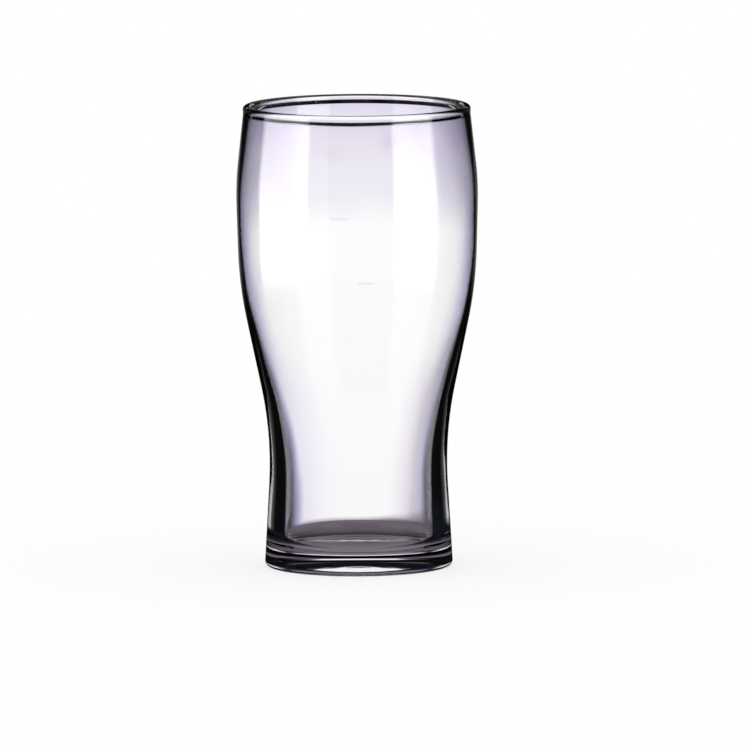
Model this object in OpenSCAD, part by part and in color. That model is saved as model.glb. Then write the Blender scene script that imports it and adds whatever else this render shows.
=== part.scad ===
// Lager glass: a waisted one-pint beer glass, pressed and blown in one piece,
// with two short printed fill lines on its front.
// Millimetres. The origin is the middle of the base on the table, +Z is up and the front faces -Y.

/* [Outside of the glass] */
// Diameter of the foot where its side line meets the table
foot_d = 65.5; // [58:0.5:76]
// Radius of the rounded corner between the side of the foot and the table
foot_corner_r = 2; // [1:0.1:6]
// Height of the waist above the table
waist_h = 46; // [30:1:60]
// Diameter at the waist, where the side lines above and below it cross
waist_d = 60.2; // [52:0.2:70]
// Radius that rounds the waist
waist_r = 130; // [20:5:200]
// Height of the shoulder above the waist
flank_h = 52.7; // [35:0.1:70]
// Diameter at the shoulder, where the side lines above and below it cross
shoulder_d = 82.4; // [72:0.2:96]
// Radius that rounds the shoulder
shoulder_r = 140; // [20:5:220]
// Height of the bulge above the shoulder
bulge_h = 35.3; // [25:0.1:50]
// Diameter at the bulge, where the side lines above and below it cross
bulge_d = 84.3; // [74:0.2:98]
// Radius that rounds the bulge
bulge_r = 110; // [20:5:220]
// Height of the neck above the bulge
neck_h = 24; // [15:0.5:40]
// Outer diameter at the neck, just under the lip
neck_d = 79.1; // [68:0.2:92]
// Radius that rounds the neck into the lip
neck_r = 6; // [2:0.5:12]

/* [Lip] */
// Height of the lip above the neck
lip_h = 3; // [2:0.1:5]
// Outer diameter of the lip
lip_d = 79.3; // [68:0.2:92]
// Thickness of the lip, with the bead inside it
lip_wall = 2.9; // [1.6:0.1:4]
// Radius of the fire-polished outer edge of the lip
lip_outer_r = 1.7; // [0.4:0.1:2]
// Radius of the fire-polished inner edge of the lip
lip_inner_r = 0.8; // [0.4:0.1:2]
// Thickness of the glass at the lower edge of the bead
bead_wall = 2.83; // [1.6:0.01:4]
// Height of the bead inside the lip, from its top to its sloping underside
bead_h = 2.1; // [1.5:0.1:4]
// Height of the bead's sloping underside
bead_slope_h = 1.3; // [0.6:0.1:3]
// Radius that rounds the two ends of that slope
bead_r = 1; // [0.3:0.1:2]

/* [Wall] */
// Wall thickness at the base
base_wall = 6.4; // [3:0.1:9]
// Wall thickness where the glass is thinnest
thin_wall = 1.15; // [0.8:0.05:2.5]
// Height above the table at which the wall is thinnest
thin_z = 114; // [95:1:130]
// Wall thickness at the neck
neck_wall = 2; // [1.2:0.1:3.5]

/* [Base] */
// Thickness of glass from the table to the edge of the inner floor
floor_t = 7.2; // [5:0.1:14]
// Rise of the inner floor from its edge to its middle
floor_rise = 0.6; // [0.1:0.1:2]
// Radius of the corner between the inner floor and the wall
floor_corner_r = 4.6; // [1.5:0.1:9]
// Diameter of the hollow under the foot
punt_d = 50; // [30:0.5:54]
// Depth of the hollow under the foot at its middle
punt_h = 2.4; // [0.5:0.1:4]

/* [Fill lines] */
// Thickness of the printed enamel
print_t = 0.1; // [0.05:0.01:0.3]
// Clearance between the enamel and the glass that it is fired on to
print_gap = 0.05; // [0.02:0.01:0.1]
// Width of a printed line, up the glass
line_w = 0.7; // [0.4:0.1:2]
// Height of the upper line above the table
upper_line_z = 125.7; // [100:0.1:140]
// Length of the upper line round the glass
upper_line_l = 7; // [3:0.5:30]
// Turn from the front to the middle of the upper line, in degrees
upper_line_turn = -8.4; // [-40:0.1:40]
// Height of the lower line above the table
lower_line_z = 103.2; // [80:0.1:120]
// Length of the lower line round the glass
lower_line_l = 5.2; // [3:0.5:30]
// Turn from the front to the middle of the lower line, in degrees
lower_line_turn = 3.6; // [-40:0.1:40]

/* [Hidden] */
$fn = 180;

// Straight steps along each rounded corner, and along the inner wall, floor and hollow
corner_steps = 12;
wall_steps = 60;
floor_steps = 12;
// The share of a side that one rounded corner may take up
corner_share = 0.48;

shoulder_z = waist_h + flank_h;
bulge_z = shoulder_z + bulge_h;
neck_z = bulge_z + neck_h;
glass_h = neck_z + lip_h;
front_angle = -90;

// A point turned by an angle about the outline's origin
function turned(p, a) = [p.x * cos(a) - p.y * sin(a), p.x * sin(a) + p.y * cos(a)];

// Points along the arc that rounds the corner at b, between the neighbours a and c.
// The arc is limited where a side is too short for the whole radius.
function rounded_corner(a, b, c, radius) =
    let (
        to_a = (a - b) / norm(a - b),
        to_c = (c - b) / norm(c - b),
        half = acos(to_a * to_c) / 2,
        reach = min(radius / tan(half), corner_share * min(norm(a - b), norm(c - b))),
        centre = b + (to_a + to_c) / norm(to_a + to_c) * reach / cos(half),
        spoke = b + to_a * reach - centre,
        turn = sign(cross(to_a, to_c)) * (2 * half - 180)
    )
    [for (i = [0 : corner_steps]) centre + turned(spoke, turn * i / corner_steps)];

// The corners of the outside, from the table to the lip
foot_corner = [foot_d / 2, 0];
waist_corner = [waist_d / 2, waist_h];
shoulder_corner = [shoulder_d / 2, shoulder_z];
bulge_corner = [bulge_d / 2, bulge_z];
neck_corner = [neck_d / 2, neck_z];
lip_corner = [lip_d / 2, glass_h];

// The side of the glass from the foot to the lip, with the foot and lip corners still sharp
side = concat(
    [foot_corner],
    rounded_corner(foot_corner, waist_corner, shoulder_corner, waist_r),
    rounded_corner(waist_corner, shoulder_corner, bulge_corner, shoulder_r),
    rounded_corner(shoulder_corner, bulge_corner, neck_corner, bulge_r),
    rounded_corner(bulge_corner, neck_corner, lip_corner, neck_r),
    [lip_corner]
);
side_by_height = [for (p = side) [p.y, p.x]];
side_steps = len(side) - 2;

// Outer radius of the glass at a height
function outer_radius(z) = lookup(z, side_by_height);

// Wall thickness at a height: it thins smoothly from the base up to thin_z, and thickens again
// towards the neck, as it does in a glass that is blown out of a pressed blank.
function eased(t) = t * t * (3 - 2 * t);
function below_thin(z) = eased(max(0, min(1, (thin_z - z) / thin_z)));
function above_thin(z) = pow(max(0, min(1, (z - thin_z) / (neck_z - thin_z))), 2);
function wall(z) =
    thin_wall + (base_wall - thin_wall) * below_thin(z) + (neck_wall - thin_wall) * above_thin(z);

// Inner radius of the glass at a height
function inner_radius(z) = outer_radius(z) - wall(z);

// The bead inside the lip. Its lower edge follows the outside, however far the lip leans out or in.
bead_z = glass_h - bead_h;
bead_low_z = bead_z - bead_slope_h;
inner_lip_corner = [lip_d / 2 - lip_wall, glass_h];
bead_corner = [outer_radius(bead_z) - bead_wall, bead_z];

// The inner wall from the bead down to just above the floor's corner
wall_low_z = floor_t + 2.5 * floor_corner_r;
inner_wall = [
    for (i = [0 : wall_steps])
        let (z = bead_low_z + (wall_low_z - bead_low_z) * i / wall_steps)
        [inner_radius(z), z]
];

// The inner floor, a low dome, from its edge to its middle
floor_edge = [inner_radius(floor_t), floor_t];
floor_corner = rounded_corner(inner_wall[wall_steps], floor_edge, [0, floor_t], floor_corner_r);
floor_edge_r = floor_corner[corner_steps].x;
inner_floor = [
    for (i = [1 : floor_steps])
        let (r = floor_edge_r * (1 - i / floor_steps))
        [r, floor_t + floor_rise * eased(1 - r / floor_edge_r)]
];

// The hollow under the foot, a shallow dome, from its middle to the standing ring
punt = [
    for (i = [0 : floor_steps])
        let (r = punt_d / 2 * i / floor_steps)
        [r, punt_h * (1 - pow(r / (punt_d / 2), 2))]
];

glass_outline = concat(
    punt,
    rounded_corner(punt[floor_steps], foot_corner, waist_corner, foot_corner_r),
    [for (i = [1 : side_steps]) side[i]],
    rounded_corner(neck_corner, lip_corner, inner_lip_corner, lip_outer_r),
    rounded_corner(lip_corner, inner_lip_corner, bead_corner, lip_inner_r),
    rounded_corner(inner_lip_corner, bead_corner, inner_wall[0], bead_r),
    rounded_corner(bead_corner, inner_wall[0], inner_wall[1], bead_r),
    [for (i = [1 : wall_steps]) inner_wall[i]],
    floor_corner,
    inner_floor
);

// Section of a printed line that follows the outside of the glass
function line_section(z) =
    let (
        low = z - line_w / 2,
        high = z + line_w / 2,
        face = concat(
            [[outer_radius(low), low]],
            [for (p = side) if (p.y > low && p.y < high) p],
            [[outer_radius(high), high]]
        ),
        last = len(face) - 1
    )
    concat(
        [for (p = face) p + [print_gap, 0]],
        [for (i = [0 : last]) face[last - i] + [print_gap + print_t, 0]]
    );

module printed_line(z, length, turn) {
    span = length / outer_radius(z) * 180 / PI;
    rotate([0, 0, front_angle + turn - span / 2])
        rotate_extrude(angle = span)
            polygon(line_section(z));
}

module glass_body() {
    color([0.86, 0.85, 0.91, 0.4])
        rotate_extrude()
            polygon(glass_outline);
}

module upper_fill_line() {
    color([0.88, 0.88, 0.89])
        printed_line(upper_line_z, upper_line_l, upper_line_turn);
}

module lower_fill_line() {
    color([0.88, 0.88, 0.89])
        printed_line(lower_line_z, lower_line_l, lower_line_turn);
}

glass_body();
upper_fill_line();
lower_fill_line();
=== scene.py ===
import math

import bpy
import numpy as np
from mathutils import Matrix, Vector


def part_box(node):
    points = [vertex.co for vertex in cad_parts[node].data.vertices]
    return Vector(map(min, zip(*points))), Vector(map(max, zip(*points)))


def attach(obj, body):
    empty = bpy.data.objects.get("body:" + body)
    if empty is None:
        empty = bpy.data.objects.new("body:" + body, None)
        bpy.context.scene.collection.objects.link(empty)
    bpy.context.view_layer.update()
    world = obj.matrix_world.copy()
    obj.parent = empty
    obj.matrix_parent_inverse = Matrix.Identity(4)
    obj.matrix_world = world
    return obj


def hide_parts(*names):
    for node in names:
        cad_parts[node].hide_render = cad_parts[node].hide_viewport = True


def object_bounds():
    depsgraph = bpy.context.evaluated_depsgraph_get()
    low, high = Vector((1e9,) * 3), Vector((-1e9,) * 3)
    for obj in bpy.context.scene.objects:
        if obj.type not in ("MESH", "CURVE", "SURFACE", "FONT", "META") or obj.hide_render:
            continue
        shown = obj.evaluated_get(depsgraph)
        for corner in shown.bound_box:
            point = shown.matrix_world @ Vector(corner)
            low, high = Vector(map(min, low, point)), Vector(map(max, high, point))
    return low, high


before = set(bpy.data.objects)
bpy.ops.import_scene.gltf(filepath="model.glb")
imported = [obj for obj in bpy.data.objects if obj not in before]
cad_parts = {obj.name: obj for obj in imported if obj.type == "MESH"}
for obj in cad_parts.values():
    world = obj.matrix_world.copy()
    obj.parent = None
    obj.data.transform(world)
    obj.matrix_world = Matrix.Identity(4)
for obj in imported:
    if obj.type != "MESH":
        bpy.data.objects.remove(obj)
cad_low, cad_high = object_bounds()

# Glass body
# The whole glass is one piece of clear soda-lime glass: foot, waist, bulged bowl and lip. A hot gob is
# pressed to a blank and blown out in a mould, which leaves a thick base and a thin bulge, and the lip
# is then melted round. Sizes are in millimetres, taken up from the table.
MM = 0.001
glass_h = (cad_high.z - cad_low.z) / MM

foot_d = 65.5
foot_corner_r = 2.0
waist_z = 46.0
waist_d = 60.2
waist_r = 130.0
shoulder_z = 98.7
shoulder_d = 82.4
shoulder_r = 140.0
bulge_z = 134.0
bulge_d = 84.3
bulge_r = 110.0
neck_z = 158.0
neck_d = 79.1
neck_r = 6.0
lip_d = 79.3
lip_wall = 2.9
lip_outer_r = 1.7
lip_inner_r = 0.8
bead_wall = 2.83
bead_h = 2.1
bead_slope_h = 1.3
bead_r = 1.0

base_wall = 6.4
thin_wall = 1.15
thin_z = 114.0
neck_wall = 2.0

floor_t = 7.2
floor_rise = 0.6
floor_corner_r = 4.6
punt_d = 50.0
punt_h = 2.4

# Rounded corners take up this share of a side at most, and the inner wall stops this many corner radii up
corner_share = 0.48
corner_clear = 2.5
arc_steps = 14
wall_steps = 100
floor_steps = 60
punt_steps = 24
longest_step = 1.6
steps_round = 192

# Waves that blowing leaves: how many go round, the millimetres up for each radian, the share and the start
blow_waves = [
    (3, 17, 1.0, 0.6),
    (5, -12, 0.7, 2.1),
    (11, 7, 0.35, 4.0),
    (17, -5, 0.25, 1.3),
]
wave_mm = 0.0175
wave_run_out = 20.0
ring_mm = 0.006
ring_apart = 4.0
ring_reach = 17.0

# The lip: its bead rises at the back, hangs at the shear mark and is thinner round the front
bead_rise_back = 0.25
bead_drop_front = 0.05
sag_from_top = 1.2
sag_below_bead = 6.0
sag_run_out = 5.0
thin_bead = 0.4
full_bead_from = 0.2
full_bead_run = 0.6
shear_bead = 0.75
shear_mark_mm = 0.2
shear_mark_angle = 266.0
shear_mark_half = 30.0


def rounded_corner(before, corner, after, radius):
    """Points of the arc that rounds one corner of an outline, limited where a side is too short."""
    to_before = (before - corner).normalized()
    to_after = (after - corner).normalized()
    half = to_before.angle(to_after) / 2
    shorter = min((before - corner).length, (after - corner).length)
    reach = min(radius / math.tan(half), corner_share * shorter)
    centre = corner + (to_before + to_after).normalized() * reach / math.cos(half)
    spoke = corner + to_before * reach - centre
    turn = math.copysign(2 * half - math.pi, -to_before.cross(to_after))
    return [centre + Matrix.Rotation(turn * i / arc_steps, 2) @ spoke for i in range(arc_steps + 1)]


def eased(t):
    """A smooth step from 0 to 1."""
    t = min(1.0, max(0.0, t))
    return t * t * (3 - 2 * t)


foot = Vector((foot_d / 2, 0))
waist = Vector((waist_d / 2, waist_z))
shoulder = Vector((shoulder_d / 2, shoulder_z))
bulge = Vector((bulge_d / 2, bulge_z))
neck = Vector((neck_d / 2, neck_z))
lip_outer = Vector((lip_d / 2, glass_h))
lip_inner = Vector((lip_d / 2 - lip_wall, glass_h))

side = [
    *rounded_corner(foot, waist, shoulder, waist_r),
    *rounded_corner(waist, shoulder, bulge, shoulder_r),
    *rounded_corner(shoulder, bulge, neck, bulge_r),
    *rounded_corner(bulge, neck, lip_outer, neck_r),
]


def outer_radius(z):
    """Radius of the outside of the glass at a height."""
    line = [foot, *side, lip_outer]
    return float(np.interp(z, [p.y for p in line], [p.x for p in line]))


def wall(z):
    """Thickness of the wall at a height: thick at the base, thinnest below the bulge, thicker at the neck."""
    below = eased((thin_z - z) / thin_z)
    above = min(1.0, max(0.0, (z - thin_z) / (neck_z - thin_z))) ** 2
    return thin_wall + (base_wall - thin_wall) * below + (neck_wall - thin_wall) * above


def inner_radius(z):
    """Radius of the inside of the glass at a height."""
    return outer_radius(z) - wall(z)


def plunger_ring(r):
    """Rise of the faint rings that the turned plunger leaves on the inner floor."""
    return ring_mm * math.cos(2 * math.pi * r / ring_apart) * eased((ring_reach - r) / ring_apart)


bead_z = glass_h - bead_h
bead_low_z = bead_z - bead_slope_h
bead = Vector((outer_radius(bead_z) - bead_wall, bead_z))
wall_low_z = floor_t + corner_clear * floor_corner_r
inner_wall = [Vector((inner_radius(z), z)) for z in np.linspace(bead_low_z, wall_low_z, wall_steps)]
floor_edge = Vector((inner_radius(floor_t), floor_t))
floor_corner = rounded_corner(inner_wall[-1], floor_edge, Vector((0, floor_t)), floor_corner_r)
floor_edge_r = floor_corner[-1].x
inner_floor = [
    Vector((r, floor_t + floor_rise * eased(1 - r / floor_edge_r) + plunger_ring(r)))
    for r in np.linspace(floor_edge_r, 0, floor_steps)[1:]
]
punt_r = punt_d / 2
punt = [Vector((r, punt_h * (1 - (r / punt_r) ** 2))) for r in np.linspace(0, punt_r, punt_steps)]
outside = [
    *punt,
    *rounded_corner(punt[-1], foot, waist, foot_corner_r),
    *side,
    *rounded_corner(neck, lip_outer, lip_inner, lip_outer_r),
]
inside = [
    *rounded_corner(lip_outer, lip_inner, bead, lip_inner_r),
    *rounded_corner(lip_inner, bead, inner_wall[0], bead_r),
    *rounded_corner(bead, inner_wall[0], inner_wall[1], bead_r),
    *inner_wall[1:],
    *floor_corner,
    *inner_floor,
]


def even_steps(line):
    """The same line with its long straight stretches cut into short steps."""
    points = [line[0]]
    for end in line[1:]:
        start = points[-1]
        pieces = max(1, math.ceil((end - start).length / longest_step))
        points += [start.lerp(end, i / pieces) for i in range(1, pieces + 1)]
    return points


def ripple(angle, z):
    """Slow unevenness that blowing leaves on the inside of the wall, in millimetres."""
    waves = [share * math.sin(count * angle + z / rise + start) for count, rise, share, start in blow_waves]
    return wave_mm * sum(waves)


def near_shear_mark(angle):
    """1 at the mark that the shears leave on the lip, falling to 0 at its sides."""
    return eased(1 - abs(angle - math.radians(shear_mark_angle)) / math.radians(shear_mark_half))


def lip_sag(angle, z):
    """How far the bead hangs below an even lip, in millimetres: most at the shear mark on the front."""
    to_back = (1 + math.sin(angle)) / 2
    hang = bead_drop_front * (1 - to_back) - bead_rise_back * to_back + shear_mark_mm * near_shear_mark(angle)
    below_top = eased((glass_h - z) / sag_from_top)
    run_out = eased((z - bead_low_z + sag_below_bead) / sag_run_out)
    return hang * below_top * run_out


def bead_share(angle):
    """How full the bead is: thickest at the back of the lip, thinnest at the front beside the shear mark."""
    full = thin_bead + (1 - thin_bead) * eased((math.sin(angle) - full_bead_from) / full_bead_run)
    return full + (shear_bead - thin_bead) * near_shear_mark(angle)


def turned_mesh(name, outline, first_inner):
    """A closed turned mesh from an outline that starts and ends on the axis."""
    points = []
    for index, p in enumerate(outline[1:-1], start=1):
        blown = eased((p.y - wall_low_z / 2) / wall_low_z) * eased((neck_z - p.y) / wave_run_out)
        for step in range(steps_round):
            angle = 2 * math.pi * step / steps_round
            r = p.x
            z = p.y
            if index >= first_inner:
                bare_r = inner_radius(p.y)
                if p.y > bead_low_z and r < bare_r:
                    r = bare_r + (r - bare_r) * bead_share(angle)
                r += ripple(angle, p.y) * blown
                z -= lip_sag(angle, p.y)
            points.append((r * math.cos(angle) * MM, r * math.sin(angle) * MM, z * MM))
    rings = len(outline) - 2
    low_pole = len(points)
    points.append((0, 0, outline[0].y * MM))
    points.append((0, 0, outline[-1].y * MM))
    faces = []
    for step in range(steps_round):
        after = (step + 1) % steps_round
        faces.append((low_pole, after, step))
        for ring in range(rings - 1):
            low, high = ring * steps_round, (ring + 1) * steps_round
            faces.append((low + step, low + after, high + after, high + step))
        last = (rings - 1) * steps_round
        faces.append((last + step, last + after, low_pole + 1))
    mesh = bpy.data.meshes.new(name)
    mesh.from_pydata(points, [], faces)
    mesh.shade_smooth()
    return mesh


def linear(hex_colour):
    """An sRGB hex colour as linear RGBA."""
    parts = [int(hex_colour[i:i + 2], 16) / 255 for i in (1, 3, 5)]
    return [c / 12.92 if c <= 0.04045 else ((c + 0.055) / 1.055) ** 2.4 for c in parts] + [1.0]


def add_node(tree, kind, settings=None, inputs=None, stops=None):
    """Adds one node with its settings, its values or links, and the stops of its colour ramp, if any."""
    node = tree.nodes.new(kind)
    for name, value in (settings or {}).items():
        setattr(node, name, value)
    for name, value in (inputs or {}).items():
        if isinstance(value, bpy.types.NodeSocket):
            tree.links.new(value, node.inputs[name])
        else:
            node.inputs[name].default_value = value
    if stops:
        elements = node.color_ramp.elements
        elements[0].position = stops[0][0]
        elements[1].position = stops[-1][0]
        elements[0].color = linear(stops[0][1])
        elements[1].color = linear(stops[-1][1])
        for position, colour in stops[1:-1]:
            elements.new(position).color = linear(colour)
    return node


# Soda-lime glass, blown and fire-polished: clear and glossy, with the lavender cast of decoloured glass where
# it is thick. The mould leaves faint level chill waves, and washing a faint haze in patches.
chill_wave_mm = 4.0
chill_run_mm = 30.0
chill_depth_mm = 0.003
haze_patch_mm = 18.0
haze_from = 0.5
haze_full = 0.8
haze_roughness = 0.012

soda_lime_glass = bpy.data.materials.new("soda_lime_glass")
soda_lime_glass.use_nodes = True
tree = soda_lime_glass.node_tree
tree.nodes.clear()
spot = add_node(tree, "ShaderNodeTexCoord")
chill_place = add_node(tree, "ShaderNodeMapping", inputs={
    "Vector": spot.outputs["Object"],
    "Scale": (1 / (chill_run_mm * MM), 1 / (chill_run_mm * MM), 1 / (chill_wave_mm * MM)),
})
chill_waves = add_node(tree, "ShaderNodeTexNoise", inputs={
    "Vector": chill_place.outputs["Vector"],
    "Scale": 1.0,
    "Detail": 1.0,
})
wavy = add_node(tree, "ShaderNodeBump", inputs={
    "Height": chill_waves.outputs["Fac"],
    "Distance": chill_depth_mm * MM,
})
haze = add_node(tree, "ShaderNodeTexNoise", inputs={
    "Vector": spot.outputs["Object"],
    "Scale": 1 / (haze_patch_mm * MM),
    "Detail": 3.0,
})
polish = add_node(tree, "ShaderNodeMapRange", inputs={
    "Value": haze.outputs["Fac"],
    "From Min": haze_from,
    "From Max": haze_full,
    "To Min": 0.0,
    "To Max": haze_roughness,
})
glass_shader = add_node(tree, "ShaderNodeBsdfPrincipled", inputs={
    "Base Color": linear("#ffffff"),
    "Roughness": polish.outputs["Result"],
    "IOR": 1.52,
    "Transmission Weight": 1.0,
    "Normal": wavy.outputs["Normal"],
})
glass_depth = add_node(tree, "ShaderNodeVolumeAbsorption", inputs={
    "Color": linear("#cfc6dc"),
    "Density": 6.0,
})
add_node(tree, "ShaderNodeOutputMaterial", inputs={
    "Surface": glass_shader.outputs["BSDF"],
    "Volume": glass_depth.outputs["Volume"],
})

outside = even_steps(outside)
glass_mesh = turned_mesh("glass", outside + even_steps(inside), len(outside))
glass_mesh.materials.append(soda_lime_glass)
glass = bpy.data.objects.new("glass", glass_mesh)
bpy.context.collection.objects.link(glass)
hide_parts("glass_body")
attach(glass, "root")

# Fill lines
# Two short level marks on the front of the bowl, screen-printed in ceramic enamel and fired on. Each is a
# thin hard skin with a domed face and round ends, and it follows the curve of the glass.
enamel_lift = 0.02
enamel_t = 0.1
enamel_dome = 4
steps_along = 48
steps_across = 8


def enamel_mesh(name, low, high):
    """A domed strip with round ends that lies on the glass within the box of a printed line."""
    z_mid = (low.z + high.z) / 2 / MM
    half_w = (high.z - low.z) / 2 / MM
    r_mid = outer_radius(z_mid) + enamel_lift
    start = r_mid * math.asin(low.x / MM / r_mid)
    end = r_mid * math.asin(high.x / MM / r_mid)
    middle = (start + end) / 2
    half_l = (end - start) / 2
    across = [2 * i / steps_across - 1 for i in range(steps_across + 1)]
    section = [(v, enamel_t * (1 - v ** enamel_dome)) for v in across] + [(v, 0.0) for v in across[-2:0:-1]]
    points = []
    for step in range(1, steps_along):
        s = -half_l * math.cos(math.pi * step / steps_along)
        into_end = max(0.0, abs(s) - (half_l - half_w))
        reach = math.sqrt(half_w ** 2 - into_end ** 2)
        angle = -math.pi / 2 + (middle + s) / r_mid
        for v, rise in section:
            z = z_mid + v * reach
            r = outer_radius(z) + enamel_lift + rise * reach / half_w
            points.append((r * math.cos(angle) * MM, r * math.sin(angle) * MM, z * MM))
    count = len(section)
    faces = [tuple(range(count)), tuple(range(len(points) - 1, len(points) - count - 1, -1))]
    for ring in range(steps_along - 2):
        for i in range(count):
            near = ring * count
            far = near + count
            after = (i + 1) % count
            faces.append((near + i, far + i, far + after, near + after))
    mesh = bpy.data.meshes.new(name)
    mesh.from_pydata(points, [], faces)
    mesh.shade_smooth()
    return mesh


# Fired enamel: pale frit melted to a hard, half-matt skin. It is slightly uneven in colour, with a fine grit
# that is drawn at 0.15 mm, coarser than the real frit, so that it shows.
grit_mm = 0.15
cloud_mm = 1.2
grit_depth_mm = 0.01
smooth_enamel = 0.35
rough_enamel = 0.55

fired_enamel = bpy.data.materials.new("fired_enamel")
fired_enamel.use_nodes = True
tree = fired_enamel.node_tree
tree.nodes.clear()
spot = add_node(tree, "ShaderNodeTexCoord")
clouds = add_node(tree, "ShaderNodeTexNoise", inputs={
    "Vector": spot.outputs["Object"],
    "Scale": 1 / (cloud_mm * MM),
    "Detail": 4.0,
})
enamel_colour = add_node(tree, "ShaderNodeValToRGB", inputs={"Fac": clouds.outputs["Fac"]}, stops=[
    (0.3, "#f1eff4"),
    (0.7, "#fbfafc"),
])
grit = add_node(tree, "ShaderNodeTexNoise", inputs={
    "Vector": spot.outputs["Object"],
    "Scale": 1 / (grit_mm * MM),
})
half_matt = add_node(tree, "ShaderNodeMapRange", inputs={
    "Value": grit.outputs["Fac"],
    "To Min": smooth_enamel,
    "To Max": rough_enamel,
})
gritty = add_node(tree, "ShaderNodeBump", inputs={
    "Height": grit.outputs["Fac"],
    "Distance": grit_depth_mm * MM,
})
enamel_shader = add_node(tree, "ShaderNodeBsdfPrincipled", inputs={
    "Base Color": enamel_colour.outputs["Color"],
    "Roughness": half_matt.outputs["Result"],
    "IOR": 1.5,
    "Normal": gritty.outputs["Normal"],
})
add_node(tree, "ShaderNodeOutputMaterial", inputs={"Surface": enamel_shader.outputs["BSDF"]})

for node_name in ("upper_fill_line", "lower_fill_line"):
    line_mesh = enamel_mesh(node_name + "_print", *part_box(node_name))
    line_mesh.materials.append(fired_enamel)
    line = bpy.data.objects.new(node_name + "_print", line_mesh)
    bpy.context.collection.objects.link(line)
    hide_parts(node_name)
    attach(line, "root")

# Table
# A plain white table top of laminate, which keeps the soft shadow of the glass. Seen through the glass, it is
# only a patch of painted shade under the base, and it gives way to white further out. Sizes of what stands
# round the glass are in metres, and the stops of its colour ramps in millimetres or degrees.
table_r = 3.0
table_points = 96
faint_shadow = 0.4
shade_r = 0.105
shade_from = 0.052
shade_to = 0.078
foot_blur = 0.002

# Behind the glass the shade reaches further out at the sides, and most at the right
shade_spread = -0.3
shade_run = -0.2
shade_behind = 0.03

# A wall has two faces for light to cross. Crossings and mirrorings are whole counts, tested half a count on.
wall_faces = 2
half_count = 0.5

table_mesh = bpy.data.meshes.new("table")
table_turns = np.linspace(0, 2 * math.pi, table_points, endpoint=False)
table_mesh.from_pydata(
    [(table_r * math.cos(a), table_r * math.sin(a), 0) for a in table_turns],
    [],
    [tuple(range(table_points))],
)
table = bpy.data.objects.new("table", table_mesh)
bpy.context.collection.objects.link(table)

# Matt laminate: an even white without gloss. Through the glass it glows with painted shade instead: mauve,
# with a painted contact shadow just round the foot, and darker where the light was mirrored inside the thick
# wall or the foot.
matt_laminate = bpy.data.materials.new("matt_laminate")
matt_laminate.use_nodes = True
tree = matt_laminate.node_tree
tree.nodes.clear()
rays = add_node(tree, "ShaderNodeLightPath")
spot = add_node(tree, "ShaderNodeNewGeometry")
split = add_node(tree, "ShaderNodeSeparateXYZ", inputs={0: spot.outputs["Position"]})
from_axis = add_node(tree, "ShaderNodeVectorMath", {"operation": "LENGTH"}, {0: spot.outputs["Position"]})
off_middle = add_node(tree, "ShaderNodeMath", {"operation": "ABSOLUTE"}, {0: split.outputs["X"]})
spread = add_node(tree, "ShaderNodeMath", {"operation": "MULTIPLY"}, {
    0: off_middle.outputs["Value"],
    1: shade_spread,
})
side_reach = add_node(tree, "ShaderNodeMath", {"operation": "MULTIPLY_ADD"}, {
    0: split.outputs["X"],
    1: shade_run,
    2: spread.outputs["Value"],
})
behind = add_node(tree, "ShaderNodeMapRange", inputs={
    "Value": split.outputs["Y"],
    "From Min": 0.0,
    "From Max": shade_behind,
    "To Min": 0.0,
    "To Max": side_reach.outputs["Value"],
})
down_shade = add_node(tree, "ShaderNodeMath", {"operation": "ADD"}, {
    0: behind.outputs["Result"],
    1: rays.outputs["Ray Length"],
})
past_shade = add_node(tree, "ShaderNodeMapRange", {"interpolation_type": "SMOOTHSTEP"}, {
    "Value": down_shade.outputs["Value"],
    "From Min": shade_from,
    "From Max": shade_to,
})
outward = add_node(tree, "ShaderNodeMapRange", inputs={
    "Value": from_axis.outputs["Value"],
    "From Min": 0.0,
    "From Max": shade_r,
})
# Painted shade: lighter under the foot, a dark painted contact shadow just round it, then mauve further out
shade_colour = add_node(tree, "ShaderNodeValToRGB", inputs={"Fac": outward.outputs["Result"]}, stops=[
    (radius * MM / shade_r, colour) for radius, colour in [
        (26, "#7d7580"),
        (31, "#2a272b"),
        (34, "#322e34"),
        (37, "#524c54"),
        (41, "#655d68"),
        (70, "#6d6570"),
    ]
])
mirrored = add_node(tree, "ShaderNodeMath", {"operation": "MINIMUM"}, {
    0: rays.outputs["Glossy Depth"],
    1: 1.0,
})
one_wall = add_node(tree, "ShaderNodeMath", {"operation": "LESS_THAN"}, {
    0: rays.outputs["Transmission Depth"],
    1: wall_faces + half_count,
})
in_wall = add_node(tree, "ShaderNodeMath", {"operation": "MULTIPLY"}, {
    0: mirrored.outputs["Value"],
    1: one_wall.outputs["Value"],
})
twice_mirrored = add_node(tree, "ShaderNodeMath", {"operation": "GREATER_THAN"}, {
    0: rays.outputs["Glossy Depth"],
    1: 1 + half_count,
})
deep_in_wall = add_node(tree, "ShaderNodeMath", {"operation": "MULTIPLY"}, {
    0: in_wall.outputs["Value"],
    1: twice_mirrored.outputs["Value"],
})
beside_foot = add_node(tree, "ShaderNodeMapRange", inputs={
    "Value": from_axis.outputs["Value"],
    "From Min": foot_d / 2 * MM,
    "From Max": foot_d / 2 * MM + foot_blur,
    "To Min": deep_in_wall.outputs["Value"],
    "To Max": in_wall.outputs["Value"],
})
# Painted shade: near black blue for light mirrored inside the wall or the foot
wall_shade = add_node(tree, "ShaderNodeMix", {"data_type": "RGBA"}, {
    "Factor": beside_foot.outputs["Result"],
    6: shade_colour.outputs["Color"],
    7: linear("#14171f"),
})
shade = add_node(tree, "ShaderNodeEmission", inputs={"Color": wall_shade.outputs[2]})
clear = add_node(tree, "ShaderNodeBsdfTransparent")
through_glass = add_node(tree, "ShaderNodeMixShader", inputs={
    0: past_shade.outputs["Result"],
    1: shade.outputs["Emission"],
    2: clear.outputs["BSDF"],
})
lit_top = add_node(tree, "ShaderNodeBsdfDiffuse", inputs={"Color": linear("#ffffff")})
bright_top = add_node(tree, "ShaderNodeEmission", inputs={"Color": linear("#ffffff")})
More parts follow.
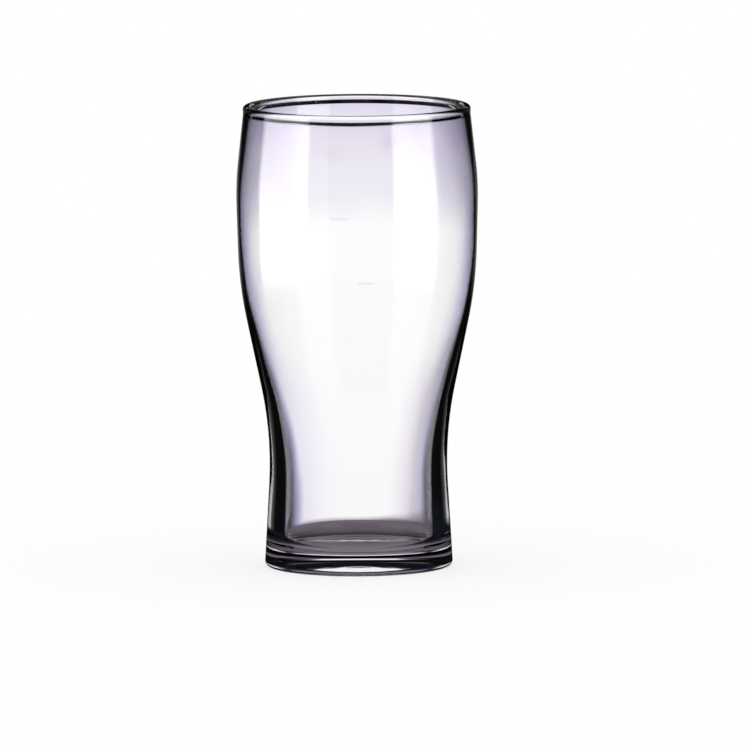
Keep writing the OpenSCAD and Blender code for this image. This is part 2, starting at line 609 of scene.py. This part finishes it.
white_top = add_node(tree, "ShaderNodeMixShader", inputs={
    0: faint_shadow,
    1: bright_top.outputs["Emission"],
    2: lit_top.outputs["BSDF"],
})
glass_ray = add_node(tree, "ShaderNodeMath", {"operation": "MAXIMUM"}, {
    0: rays.outputs["Is Transmission Ray"],
    1: rays.outputs["Is Glossy Ray"],
})
off_table = add_node(tree, "ShaderNodeMath", {"operation": "LESS_THAN"}, {
    0: rays.outputs["Diffuse Depth"],
    1: half_count,
})
in_glass = add_node(tree, "ShaderNodeMath", {"operation": "MULTIPLY"}, {
    0: glass_ray.outputs["Value"],
    1: off_table.outputs["Value"],
})
top = add_node(tree, "ShaderNodeMixShader", inputs={
    0: in_glass.outputs["Value"],
    1: white_top.outputs["Shader"],
    2: through_glass.outputs["Shader"],
})
add_node(tree, "ShaderNodeOutputMaterial", inputs={"Surface": top.outputs["Shader"]})
matt_laminate.cycles.emission_sampling = "NONE"
table_mesh.materials.append(matt_laminate)

# Cards
# Clear glass is lit through: a ring of white card stands round it, with painted shade at each side of the
# back and towards its top, which draws the edges of the bowl, and painted reflections for mirrored light.
# Straight light passes it below the bowl, where it is open, and only light that left the glass shows it.
card_r = 0.2
card_low = -0.3
card_high = 0.2
card_points = 180
card_half = 45.0
card_level = 1.14
open_below = 0.020
closed_above = 0.050
top_row_from = 0.095
top_row_full = 0.125
card_cloud_mm = 30.0

# The light's way from glass to card: its length when level, bent or steep, and the heights that it left from
level_path = 0.160
bent_path = 0.172
steep_path = 0.181
lip_from = 0.146
lip_full = 0.152
lip_line = 0.02
bowl_from = 0.1
foot_line_from = 0.045
foot_line_full = 0.065
foot_line = 0.2

# Painted reflections and highlights for what the glass mirrors: the core of its thick wall, a strip at the
# foot, two softboxes and the floor's shine
dark_room = 0.003
core_full = 0.012
core_gone = 0.024
strip_mirrorings = 3
strip_half = 32.0
strip_path = 0.178
strip_z = 0.034
strip_z_half = 0.021
softbox_low = 0.040
softbox_full = 0.080
softbox_level = 2.6
inner_reflection = 0.2
floor_shine = 0.3
shine_full = 0.050
shine_gone = 0.065


def ring_of_cards(name, radius, low, high):
    """A ring of card round the glass, which shows in the glass alone, not to the camera or on the table."""
    mesh = bpy.data.meshes.new(name)
    turns = np.linspace(0, 2 * math.pi, card_points, endpoint=False)
    count = 2 * card_points
    mesh.from_pydata(
        [(radius * math.cos(a), radius * math.sin(a), z) for a in turns for z in (low, high)],
        [],
        [(i, i + 1, (i + 3) % count, (i + 2) % count) for i in range(0, count, 2)],
    )
    ring = bpy.data.objects.new(name, mesh)
    bpy.context.collection.objects.link(ring)
    ring.visible_camera = False
    ring.visible_diffuse = False
    ring.visible_shadow = False
    ring.visible_volume_scatter = False
    return mesh


cards_mesh = ring_of_cards("cards", card_r, card_low, card_high)

# Painted card, drawn as light of one strength so that it shows through the glass as it is painted: matt
# white, with soft lavender greys and near black in its dark parts as painted shade, and painted reflections
# and highlights where the glass mirrors it.
card_and_painted_light = bpy.data.materials.new("card_and_painted_light")
card_and_painted_light.use_nodes = True
tree = card_and_painted_light.node_tree
tree.nodes.clear()
rays = add_node(tree, "ShaderNodeLightPath")
spot = add_node(tree, "ShaderNodeNewGeometry")
split = add_node(tree, "ShaderNodeSeparateXYZ", inputs={0: spot.outputs["Position"]})
azimuth = add_node(tree, "ShaderNodeMath", {"operation": "ARCTAN2"}, {
    0: split.outputs["X"],
    1: split.outputs["Y"],
})
off_back = add_node(tree, "ShaderNodeMath", {"operation": "ABSOLUTE"}, {0: azimuth.outputs["Value"]})
across = add_node(tree, "ShaderNodeMath", {"operation": "DIVIDE"}, {
    0: off_back.outputs["Value"],
    1: math.radians(card_half),
})

# Across the ring: white behind the glass, painted shade at each side that darkens the edges, and white again
# further round
low_row = add_node(tree, "ShaderNodeValToRGB", inputs={"Fac": across.outputs["Value"]}, stops=[
    (degrees / card_half, colour) for degrees, colour in [
        (0, "#ffffff"),
        (17, "#ffffff"),
        (18.5, "#eeedf6"),
        (21, "#c6c4d9"),
        (23.5, "#a8a8bc"),
        (26, "#838495"),
        (28.4, "#5f6069"),
        (31, "#42424a"),
        (33.5, "#42424a"),
        (35.5, "#57575f"),
        (37.5, "#82818c"),
        (39, "#9a99a5"),
        (42, "#dddbe9"),
        (45, "#ffffff"),
    ]
])
middle_row = add_node(tree, "ShaderNodeValToRGB", inputs={"Fac": across.outputs["Value"]}, stops=[
    (degrees / card_half, colour) for degrees, colour in [
        (0, "#ffffff"),
        (13, "#ffffff"),
        (15, "#f8f5ff"),
        (17.5, "#e8e2ff"),
        (25, "#e5dffd"),
        (27, "#d3cee8"),
        (29, "#90909f"),
        (31, "#42424a"),
        (33.5, "#42424a"),
        (35, "#90909f"),
        (36.5, "#dddbe9"),
        (38, "#ffffff"),
    ]
])
top_row = add_node(tree, "ShaderNodeValToRGB", inputs={"Fac": across.outputs["Value"]}, stops=[
    (degrees / card_half, colour) for degrees, colour in [
        (0, "#ffffff"),
        (6, "#ffffff"),
        (10, "#ebe9f2"),
        (14, "#d3d1dc"),
        (24, "#c8c6d2"),
        (28, "#90909f"),
        (31, "#42424a"),
        (33.5, "#42424a"),
        (35, "#90909f"),
        (37, "#d3d1dc"),
        (42, "#ffffff"),
    ]
])

# The rows change with height, and light that went straight through both walls meets no low row
through_both = add_node(tree, "ShaderNodeMath", {"operation": "GREATER_THAN"}, {
    0: rays.outputs["Transmission Depth"],
    1: wall_faces + half_count,
})
unmirrored = add_node(tree, "ShaderNodeMath", {"operation": "LESS_THAN"}, {
    0: rays.outputs["Glossy Depth"],
    1: half_count,
})
straight_through = add_node(tree, "ShaderNodeMath", {"operation": "MULTIPLY"}, {
    0: through_both.outputs["Value"],
    1: unmirrored.outputs["Value"],
})
middle_share = add_node(tree, "ShaderNodeMapRange", inputs={
    "Value": split.outputs["Z"],
    "From Min": open_below,
    "From Max": closed_above,
})
row_share = add_node(tree, "ShaderNodeMath", {"operation": "MAXIMUM"}, {
    0: middle_share.outputs["Result"],
    1: straight_through.outputs["Value"],
})
top_share = add_node(tree, "ShaderNodeMapRange", inputs={
    "Value": split.outputs["Z"],
    "From Min": top_row_from,
    "From Max": top_row_full,
})
two_rows = add_node(tree, "ShaderNodeMix", {"data_type": "RGBA"}, {
    "Factor": row_share.outputs["Value"],
    6: low_row.outputs["Color"],
    7: middle_row.outputs["Color"],
})
panels = add_node(tree, "ShaderNodeMix", {"data_type": "RGBA"}, {
    "Factor": top_share.outputs["Result"],
    6: two_rows.outputs[2],
    7: top_row.outputs["Color"],
})

# Up the ring: white, then lavender beside the bowl, and painted shade that darkens to near black above the
# lip
upward = add_node(tree, "ShaderNodeMapRange", inputs={
    "Value": split.outputs["Z"],
    "From Min": 0.0,
    "From Max": card_high,
})
levels = add_node(tree, "ShaderNodeValToRGB", inputs={"Fac": upward.outputs["Result"]}, stops=[
    (height * MM / card_high, colour) for height, colour in [
        (98, "#ffffff"),
        (112, "#f2eef7"),
        (125, "#ede9f3"),
        (138, "#e5dfee"),
        (146, "#d8d3e4"),
        (154, "#ccc8d9"),
        (159, "#b0adbd"),
        (163, "#7c7a86"),
        (168, "#35353b"),
        (176, "#131316"),
        (200, "#08080a"),
    ]
])
shaded = add_node(tree, "ShaderNodeMix", {"data_type": "RGBA", "blend_type": "MULTIPLY"}, {
    "Factor": 1.0,
    6: panels.outputs[2],
    7: levels.outputs["Color"],
})
clouds = add_node(tree, "ShaderNodeTexNoise", inputs={
    "Vector": spot.outputs["Position"],
    "Scale": 1 / (card_cloud_mm * MM),
    "Detail": 2.0,
})
uneven = add_node(tree, "ShaderNodeValToRGB", inputs={"Fac": clouds.outputs["Fac"]}, stops=[
    (0.35, "#ebe8ee"),
    (0.6, "#ffffff"),
])
clouded = add_node(tree, "ShaderNodeMix", {"data_type": "RGBA", "blend_type": "MULTIPLY"}, {
    "Factor": top_share.outputs["Result"],
    6: shaded.outputs[2],
    7: uneven.outputs["Color"],
})

# Painted shade for light that left through one wall, as thin lines: dark where it left the lip steeply, faint
# where it is low
one_wall = add_node(tree, "ShaderNodeMath", {"operation": "LESS_THAN"}, {
    0: rays.outputs["Transmission Depth"],
    1: wall_faces + half_count,
})
long_path = add_node(tree, "ShaderNodeMath", {"operation": "MAXIMUM"}, {
    0: rays.outputs["Ray Length"],
    1: level_path,
})
squared = add_node(tree, "ShaderNodeMath", {"operation": "MULTIPLY_ADD"}, {
    0: long_path.outputs["Value"],
    1: long_path.outputs["Value"],
    2: -level_path ** 2,
})
fall = add_node(tree, "ShaderNodeMath", {"operation": "SQRT"}, {0: squared.outputs["Value"]})
left_at = add_node(tree, "ShaderNodeMath", {"operation": "ADD"}, {
    0: split.outputs["Z"],
    1: fall.outputs["Value"],
})
from_lip = add_node(tree, "ShaderNodeMapRange", inputs={
    "Value": left_at.outputs["Value"],
    "From Min": lip_from,
    "From Max": lip_full,
    "To Min": 1.0,
    "To Max": lip_line,
})
steep = add_node(tree, "ShaderNodeMapRange", inputs={
    "Value": rays.outputs["Ray Length"],
    "From Min": bent_path,
    "From Max": steep_path,
    "To Min": 1.0,
    "To Max": from_lip.outputs["Result"],
})
from_bowl = add_node(tree, "ShaderNodeMath", {"operation": "GREATER_THAN"}, {
    0: left_at.outputs["Value"],
    1: bowl_from,
})
faint_foot = add_node(tree, "ShaderNodeMapRange", inputs={
    "Value": split.outputs["Z"],
    "From Min": foot_line_from,
    "From Max": foot_line_full,
    "To Min": foot_line,
    "To Max": 1.0,
})
low_lines = add_node(tree, "ShaderNodeMath", {"operation": "MAXIMUM"}, {
    0: from_bowl.outputs["Value"],
    1: faint_foot.outputs["Result"],
})
thin_lines = add_node(tree, "ShaderNodeMath", {"operation": "MULTIPLY"}, {
    0: steep.outputs["Result"],
    1: low_lines.outputs["Value"],
})
line_light = add_node(tree, "ShaderNodeMix", inputs={
    "Factor": one_wall.outputs["Value"],
    "A": 1.0,
    "B": thin_lines.outputs["Value"],
})
seen_through = add_node(tree, "ShaderNodeMix", {"data_type": "RGBA", "blend_type": "MULTIPLY"}, {
    "Factor": 1.0,
    6: clouded.outputs[2],
    7: line_light.outputs["Result"],
})

# Mirrored light is dark, but for a painted glow in the core of the thick wall, low down, and at the edges of
# the bowl
core = add_node(tree, "ShaderNodeValToRGB", inputs={"Fac": across.outputs["Value"]}, stops=[
    (degrees / card_half, colour) for degrees, colour in [
        (0, "#ffffff"),
        (12, "#ffffff"),
        (15, "#aaaaaa"),
        (17, "#7a7a7a"),
        (19, "#626262"),
        (22, "#4c4c4c"),
        (25, "#3c3c3c"),
        (28, "#282828"),
        (31, "#121212"),
        (34, "#000000"),
    ]
])
low_down = add_node(tree, "ShaderNodeMapRange", inputs={
    "Value": split.outputs["Z"],
    "From Min": core_full,
    "From Max": core_gone,
    "To Min": 1.0,
    "To Max": 0.0,
})
in_wall = add_node(tree, "ShaderNodeMath", {"operation": "MINIMUM"}, {
    0: rays.outputs["Transmission Depth"],
    1: low_down.outputs["Result"],
})
once_mirrored = add_node(tree, "ShaderNodeMath", {"operation": "LESS_THAN"}, {
    0: rays.outputs["Glossy Depth"],
    1: 1 + half_count,
})
wall_core = add_node(tree, "ShaderNodeMath", {"operation": "MULTIPLY"}, {
    0: in_wall.outputs["Value"],
    1: once_mirrored.outputs["Value"],
})
bowl_edge = add_node(tree, "ShaderNodeValToRGB", inputs={"Fac": across.outputs["Value"]}, stops=[
    (degrees / card_half, colour) for degrees, colour in [
        (0, "#dddddd"),
        (15, "#bcbcbc"),
        (19, "#8b8b8b"),
        (23, "#737373"),
        (27, "#505050"),
        (31, "#242424"),
        (34, "#000000"),
    ]
])
edge_rows = add_node(tree, "ShaderNodeValToRGB", inputs={"Fac": upward.outputs["Result"]}, stops=[
    (height * MM / card_high, colour) for height, colour in [
        (50, "#000000"),
        (80, "#ffffff"),
        (140, "#ffffff"),
        (150, "#000000"),
    ]
])
edge_part = add_node(tree, "ShaderNodeMath", {"operation": "MULTIPLY"}, {
    0: one_wall.outputs["Value"],
    1: edge_rows.outputs["Color"],
})
edge_glow = add_node(tree, "ShaderNodeMath", {"operation": "MULTIPLY_ADD"}, {
    0: bowl_edge.outputs["Color"],
    1: edge_part.outputs["Value"],
    2: dark_room,
})
glow = add_node(tree, "ShaderNodeMath", {"operation": "MULTIPLY_ADD"}, {
    0: core.outputs["Color"],
    1: wall_core.outputs["Value"],
    2: edge_glow.outputs["Value"],
})

# A painted highlight: a bright strip along the foot, which only light mirrored three times meets
thrice = add_node(tree, "ShaderNodeMath", {"operation": "COMPARE"}, {
    0: rays.outputs["Glossy Depth"],
    1: strip_mirrorings,
    2: half_count,
})
at_back = add_node(tree, "ShaderNodeMath", {"operation": "LESS_THAN"}, {
    0: off_back.outputs["Value"],
    1: math.radians(strip_half),
})
at_foot = add_node(tree, "ShaderNodeMath", {"operation": "COMPARE"}, {
    0: split.outputs["Z"],
    1: strip_z,
    2: strip_z_half,
})
short_path = add_node(tree, "ShaderNodeMath", {"operation": "LESS_THAN"}, {
    0: rays.outputs["Ray Length"],
    1: strip_path,
})
foot_back = add_node(tree, "ShaderNodeMath", {"operation": "MULTIPLY"}, {
    0: at_back.outputs["Value"],
    1: at_foot.outputs["Value"],
})
strip_part = add_node(tree, "ShaderNodeMath", {"operation": "MULTIPLY"}, {
    0: foot_back.outputs["Value"],
    1: short_path.outputs["Value"],
})
flash = add_node(tree, "ShaderNodeMath", {"operation": "MULTIPLY_ADD"}, {
    0: thrice.outputs["Value"],
    1: strip_part.outputs["Value"],
    2: glow.outputs["Value"],
})

# Painted reflections of two softboxes in front, which only mirrored light meets: full on the face of the
# bowl, faint on the walls inside
round_ring = add_node(tree, "ShaderNodeMapRange", inputs={
    "Value": azimuth.outputs["Value"],
    "From Min": -math.pi,
    "From Max": math.pi,
})
painted_softboxes = add_node(tree, "ShaderNodeValToRGB", inputs={"Fac": round_ring.outputs["Result"]}, stops=[
    ((degrees + 180) / 360, colour) for degrees, colour in [
        (-137, "#595959"),
        (-134, "#ffffff"),
        (-82, "#ffffff"),
        (-80, "#000000"),
        (104, "#000000"),
        (106, "#ffffff"),
        (146, "#ffffff"),
        (149, "#595959"),
    ]
])
box_height = add_node(tree, "ShaderNodeMapRange", {"interpolation_type": "SMOOTHSTEP"}, {
    "Value": split.outputs["Z"],
    "From Min": softbox_low,
    "From Max": softbox_full,
    "To Min": 0.0,
    "To Max": softbox_level,
})
first_wall = add_node(tree, "ShaderNodeMapRange", inputs={
    "Value": rays.outputs["Transmission Depth"],
    "From Min": wall_faces,
    "From Max": wall_faces + 1,
    "To Min": 1.0,
    "To Max": inner_reflection,
})
box_light = add_node(tree, "ShaderNodeMath", {"operation": "MULTIPLY"}, {
    0: box_height.outputs["Result"],
    1: first_wall.outputs["Result"],
})
mirror_light = add_node(tree, "ShaderNodeMath", {"operation": "MULTIPLY_ADD"}, {
    0: painted_softboxes.outputs["Color"],
    1: box_light.outputs["Value"],
    2: flash.outputs["Value"],
})

# A painted reflection: the inner floor, seen through two walls, shows a little of what stands behind it
floor_light = add_node(tree, "ShaderNodeMapRange", inputs={
    "Value": split.outputs["Z"],
    "From Min": shine_full,
    "From Max": shine_gone,
    "To Min": floor_shine,
    "To Max": 0.0,
})
two_walls = add_node(tree, "ShaderNodeMapRange", inputs={
    "Value": rays.outputs["Transmission Depth"],
    "From Min": 2 * wall_faces - 1,
    "From Max": 2 * wall_faces,
    "To Min": 0.0,
    "To Max": floor_light.outputs["Result"],
})
mirror_colour = add_node(tree, "ShaderNodeMix", {"data_type": "RGBA"}, {
    "Factor": two_walls.outputs["Result"],
    6: mirror_light.outputs["Value"],
    7: seen_through.outputs[2],
})
mirrored = add_node(tree, "ShaderNodeMath", {"operation": "MINIMUM"}, {
    0: rays.outputs["Glossy Depth"],
    1: 1.0,
})
card_light = add_node(tree, "ShaderNodeMix", {"data_type": "RGBA"}, {
    "Factor": mirrored.outputs["Value"],
    6: seen_through.outputs[2],
    7: mirror_colour.outputs[2],
})

# Light from the table passes the ring, and so does straight light below the bowl
lit_card = add_node(tree, "ShaderNodeEmission", inputs={
    "Color": card_light.outputs[2],
    "Strength": card_level,
})
clear = add_node(tree, "ShaderNodeBsdfTransparent")
from_table = add_node(tree, "ShaderNodeMath", {"operation": "MINIMUM"}, {
    0: rays.outputs["Diffuse Depth"],
    1: 1.0,
})
open_part = add_node(tree, "ShaderNodeMapRange", inputs={
    "Value": split.outputs["Z"],
    "From Min": open_below,
    "From Max": closed_above,
    "To Min": straight_through.outputs["Value"],
    "To Max": 0.0,
})
opening = add_node(tree, "ShaderNodeMath", {"operation": "MAXIMUM"}, {
    0: from_table.outputs["Value"],
    1: open_part.outputs["Result"],
})
card = add_node(tree, "ShaderNodeMixShader", inputs={
    0: opening.outputs["Value"],
    1: lit_card.outputs["Emission"],
    2: clear.outputs["BSDF"],
})
add_node(tree, "ShaderNodeOutputMaterial", inputs={"Surface": card.outputs["Shader"]})
card_and_painted_light.cycles.emission_sampling = "NONE"
cards_mesh.materials.append(card_and_painted_light)

# Flags
# The ring of card is open below the bowl. A wider ring of white card stands behind it, with a dark flag of
# painted shade at each side of the back: bent light from the edges of the lower body meets the flags, and the
# white between them fills it.
flag_r = 0.6
flag_low = -1.2
flag_high = 0.3
flag_half = 60.0
flag_foot = -0.175
flag_full = -0.150
tint_full = -0.077
tint_gone = -0.023
left_full = -0.134
left_gone = -0.008

flags_mesh = ring_of_cards("flags", flag_r, flag_low, flag_high)

# Black flag cloth on white card, drawn as light: a dark grey with soft edges, painted shade for the edges of
# the glass, and white beside it. Painted shade makes the white faintly lavender towards the left, with one
# pale mauve band at the right.
flag_and_painted_shade = bpy.data.materials.new("flag_and_painted_shade")
flag_and_painted_shade.use_nodes = True
tree = flag_and_painted_shade.node_tree
tree.nodes.clear()
rays = add_node(tree, "ShaderNodeLightPath")
spot = add_node(tree, "ShaderNodeNewGeometry")
split = add_node(tree, "ShaderNodeSeparateXYZ", inputs={0: spot.outputs["Position"]})
azimuth = add_node(tree, "ShaderNodeMath", {"operation": "ARCTAN2"}, {
    0: split.outputs["X"],
    1: split.outputs["Y"],
})
off_back = add_node(tree, "ShaderNodeMath", {"operation": "ABSOLUTE"}, {0: azimuth.outputs["Value"]})
across = add_node(tree, "ShaderNodeMath", {"operation": "DIVIDE"}, {
    0: off_back.outputs["Value"],
    1: math.radians(flag_half),
})
# Painted shade across the ring: white behind the glass, a dark flag at each side, and white again further
# round
flag_row = add_node(tree, "ShaderNodeValToRGB", inputs={"Fac": across.outputs["Value"]}, stops=[
    (degrees / flag_half, colour) for degrees, colour in [
        (0, "#ffffff"),
        (12.4, "#ffffff"),
        (13.7, "#eeedf6"),
        (16.2, "#c6c4d9"),
        (18.5, "#a8a8bc"),
        (20.9, "#838495"),
        (23.4, "#5f6069"),
        (26.1, "#42424a"),
        (28.3, "#42424a"),
        (30.4, "#4f4f57"),
        (32.3, "#6c6b76"),
        (34.3, "#85848f"),
        (37, "#96959f"),
        (42, "#a3a2ad"),
        (48, "#cac8d5"),
        (56, "#ffffff"),
    ]
])
# Painted shade below the bowl: faint lavender towards the left and a pale mauve band at the right
below_bowl = add_node(tree, "ShaderNodeMapRange", {"interpolation_type": "SMOOTHSTEP"}, {
    "Value": split.outputs["Z"],
    "From Min": tint_full,
    "From Max": tint_gone,
    "To Min": 1.0,
    "To Max": 0.0,
})
to_left = add_node(tree, "ShaderNodeMapRange", {"interpolation_type": "SMOOTHSTEP"}, {
    "Value": split.outputs["X"],
    "From Min": left_full,
    "From Max": left_gone,
    "To Min": below_bowl.outputs["Result"],
    "To Max": 0.0,
})
left_painted_shade = add_node(tree, "ShaderNodeMix", {"data_type": "RGBA", "blend_type": "MULTIPLY"}, {
    "Factor": to_left.outputs["Result"],
    6: flag_row.outputs["Color"],
    7: linear("#f1eefa"),
})
to_right = add_node(tree, "ShaderNodeMapRange", inputs={
    "Value": split.outputs["X"],
    "From Min": 0.0,
    "From Max": flag_r,
})
right_painted_shade = add_node(tree, "ShaderNodeValToRGB", inputs={"Fac": to_right.outputs["Result"]}, stops=[
    (place * MM / flag_r, colour) for place, colour in [
        (45, "#ffffff"),
        (85, "#efebf2"),
        (120, "#d3ccd8"),
        (138, "#d6d0dc"),
        (173, "#ffffff"),
    ]
])
side_painted_shade = add_node(tree, "ShaderNodeMix", {"data_type": "RGBA", "blend_type": "MULTIPLY"}, {
    "Factor": below_bowl.outputs["Result"],
    6: left_painted_shade.outputs[2],
    7: right_painted_shade.outputs["Color"],
})
above_foot = add_node(tree, "ShaderNodeMapRange", inputs={
    "Value": split.outputs["Z"],
    "From Min": flag_foot,
    "From Max": flag_full,
})
flag_colour = add_node(tree, "ShaderNodeMix", {"data_type": "RGBA"}, {
    "Factor": above_foot.outputs["Result"],
    6: linear("#ffffff"),
    7: side_painted_shade.outputs[2],
})
lit_flag = add_node(tree, "ShaderNodeEmission", inputs={
    "Color": flag_colour.outputs[2],
    "Strength": card_level,
})
clear = add_node(tree, "ShaderNodeBsdfTransparent")
from_table = add_node(tree, "ShaderNodeMath", {"operation": "MINIMUM"}, {
    0: rays.outputs["Diffuse Depth"],
    1: 1.0,
})
flag = add_node(tree, "ShaderNodeMixShader", inputs={
    0: from_table.outputs["Value"],
    1: lit_flag.outputs["Emission"],
    2: clear.outputs["BSDF"],
})
add_node(tree, "ShaderNodeOutputMaterial", inputs={"Surface": flag.outputs["Shader"]})
flag_and_painted_shade.cycles.emission_sampling = "NONE"
flags_mesh.materials.append(flag_and_painted_shade)

# Room
# An even white room lights the table and the enamel at a plain level. The glass shows it white below the
# horizon and dark above, which draws the lines along the lip, but for a glow overhead that the floor mirrors.
dark_ceiling = 0.01
horizon_half = 0.02
overhead_from = 0.5
overhead_full = 0.65
inner_glow = 0.25

world = bpy.data.worlds.new("room")
bpy.context.scene.world = world
world.use_nodes = True
world.cycles.sampling_method = "NONE"
tree = world.node_tree
tree.nodes.clear()
rays = add_node(tree, "ShaderNodeLightPath")
direction = add_node(tree, "ShaderNodeTexCoord")
split = add_node(tree, "ShaderNodeSeparateXYZ", inputs={0: direction.outputs["Generated"]})
below_horizon = add_node(tree, "ShaderNodeMapRange", inputs={
    "Value": split.outputs["Z"],
    "From Min": -horizon_half,
    "From Max": horizon_half,
    "To Min": 1.0,
    "To Max": dark_ceiling,
})
mirrored = add_node(tree, "ShaderNodeMath", {"operation": "MINIMUM"}, {
    0: rays.outputs["Glossy Depth"],
    1: 1.0,
})
overhead = add_node(tree, "ShaderNodeMapRange", inputs={
    "Value": split.outputs["Z"],
    "From Min": overhead_from,
    "From Max": overhead_full,
    "To Min": dark_ceiling,
    "To Max": inner_glow,
})
in_floor = add_node(tree, "ShaderNodeMapRange", inputs={
    "Value": rays.outputs["Transmission Depth"],
    "From Min": wall_faces,
    "From Max": wall_faces + 1,
    "To Min": dark_ceiling,
    "To Max": overhead.outputs["Result"],
})
glass_light = add_node(tree, "ShaderNodeMix", inputs={
    "Factor": mirrored.outputs["Value"],
    "A": below_horizon.outputs["Result"],
    "B": in_floor.outputs["Result"],
})
glass_ray = add_node(tree, "ShaderNodeMath", {"operation": "MAXIMUM"}, {
    0: rays.outputs["Is Transmission Ray"],
    1: rays.outputs["Is Glossy Ray"],
})
off_table = add_node(tree, "ShaderNodeMath", {"operation": "LESS_THAN"}, {
    0: rays.outputs["Diffuse Depth"],
    1: half_count,
})
in_glass = add_node(tree, "ShaderNodeMath", {"operation": "MULTIPLY"}, {
    0: glass_ray.outputs["Value"],
    1: off_table.outputs["Value"],
})
light = add_node(tree, "ShaderNodeMix", inputs={
    "Factor": in_glass.outputs["Value"],
    "A": 1.0,
    "B": glass_light.outputs["Result"],
})
sky = add_node(tree, "ShaderNodeBackground", inputs={
    "Color": linear("#ffffff"),
    "Strength": light.outputs["Result"],
})
add_node(tree, "ShaderNodeOutputWorld", inputs={"Surface": sky.outputs["Background"]})

# Camera
# A very long lens six metres in front of the glass and above its lip, which looks slightly down on it and
# leans by about a quarter of a degree. Lens and film are in millimetres, places in metres.
lens_mm = 834
film_mm = 36
sees_to = 20
camera_side = 0.0059
camera_away = 6
camera_up = 0.774
aim_up = 0.0666
camera_lean = -0.28

camera_data = bpy.data.cameras.new("camera")
camera_data.lens = lens_mm
camera_data.sensor_width = film_mm
camera_data.clip_end = sees_to
camera = bpy.data.objects.new("camera", camera_data)
bpy.context.collection.objects.link(camera)
camera.location = Vector((camera_side, -camera_away, camera_up))
aim = Vector((camera_side, 0, aim_up))
camera.rotation_euler = (aim - camera.location).to_track_quat("-Z", "Y").to_euler()
camera.rotation_euler.rotate_axis("Z", math.radians(camera_lean))
bpy.context.scene.camera = camera
bpy.context.scene.view_settings.view_transform = "Standard"
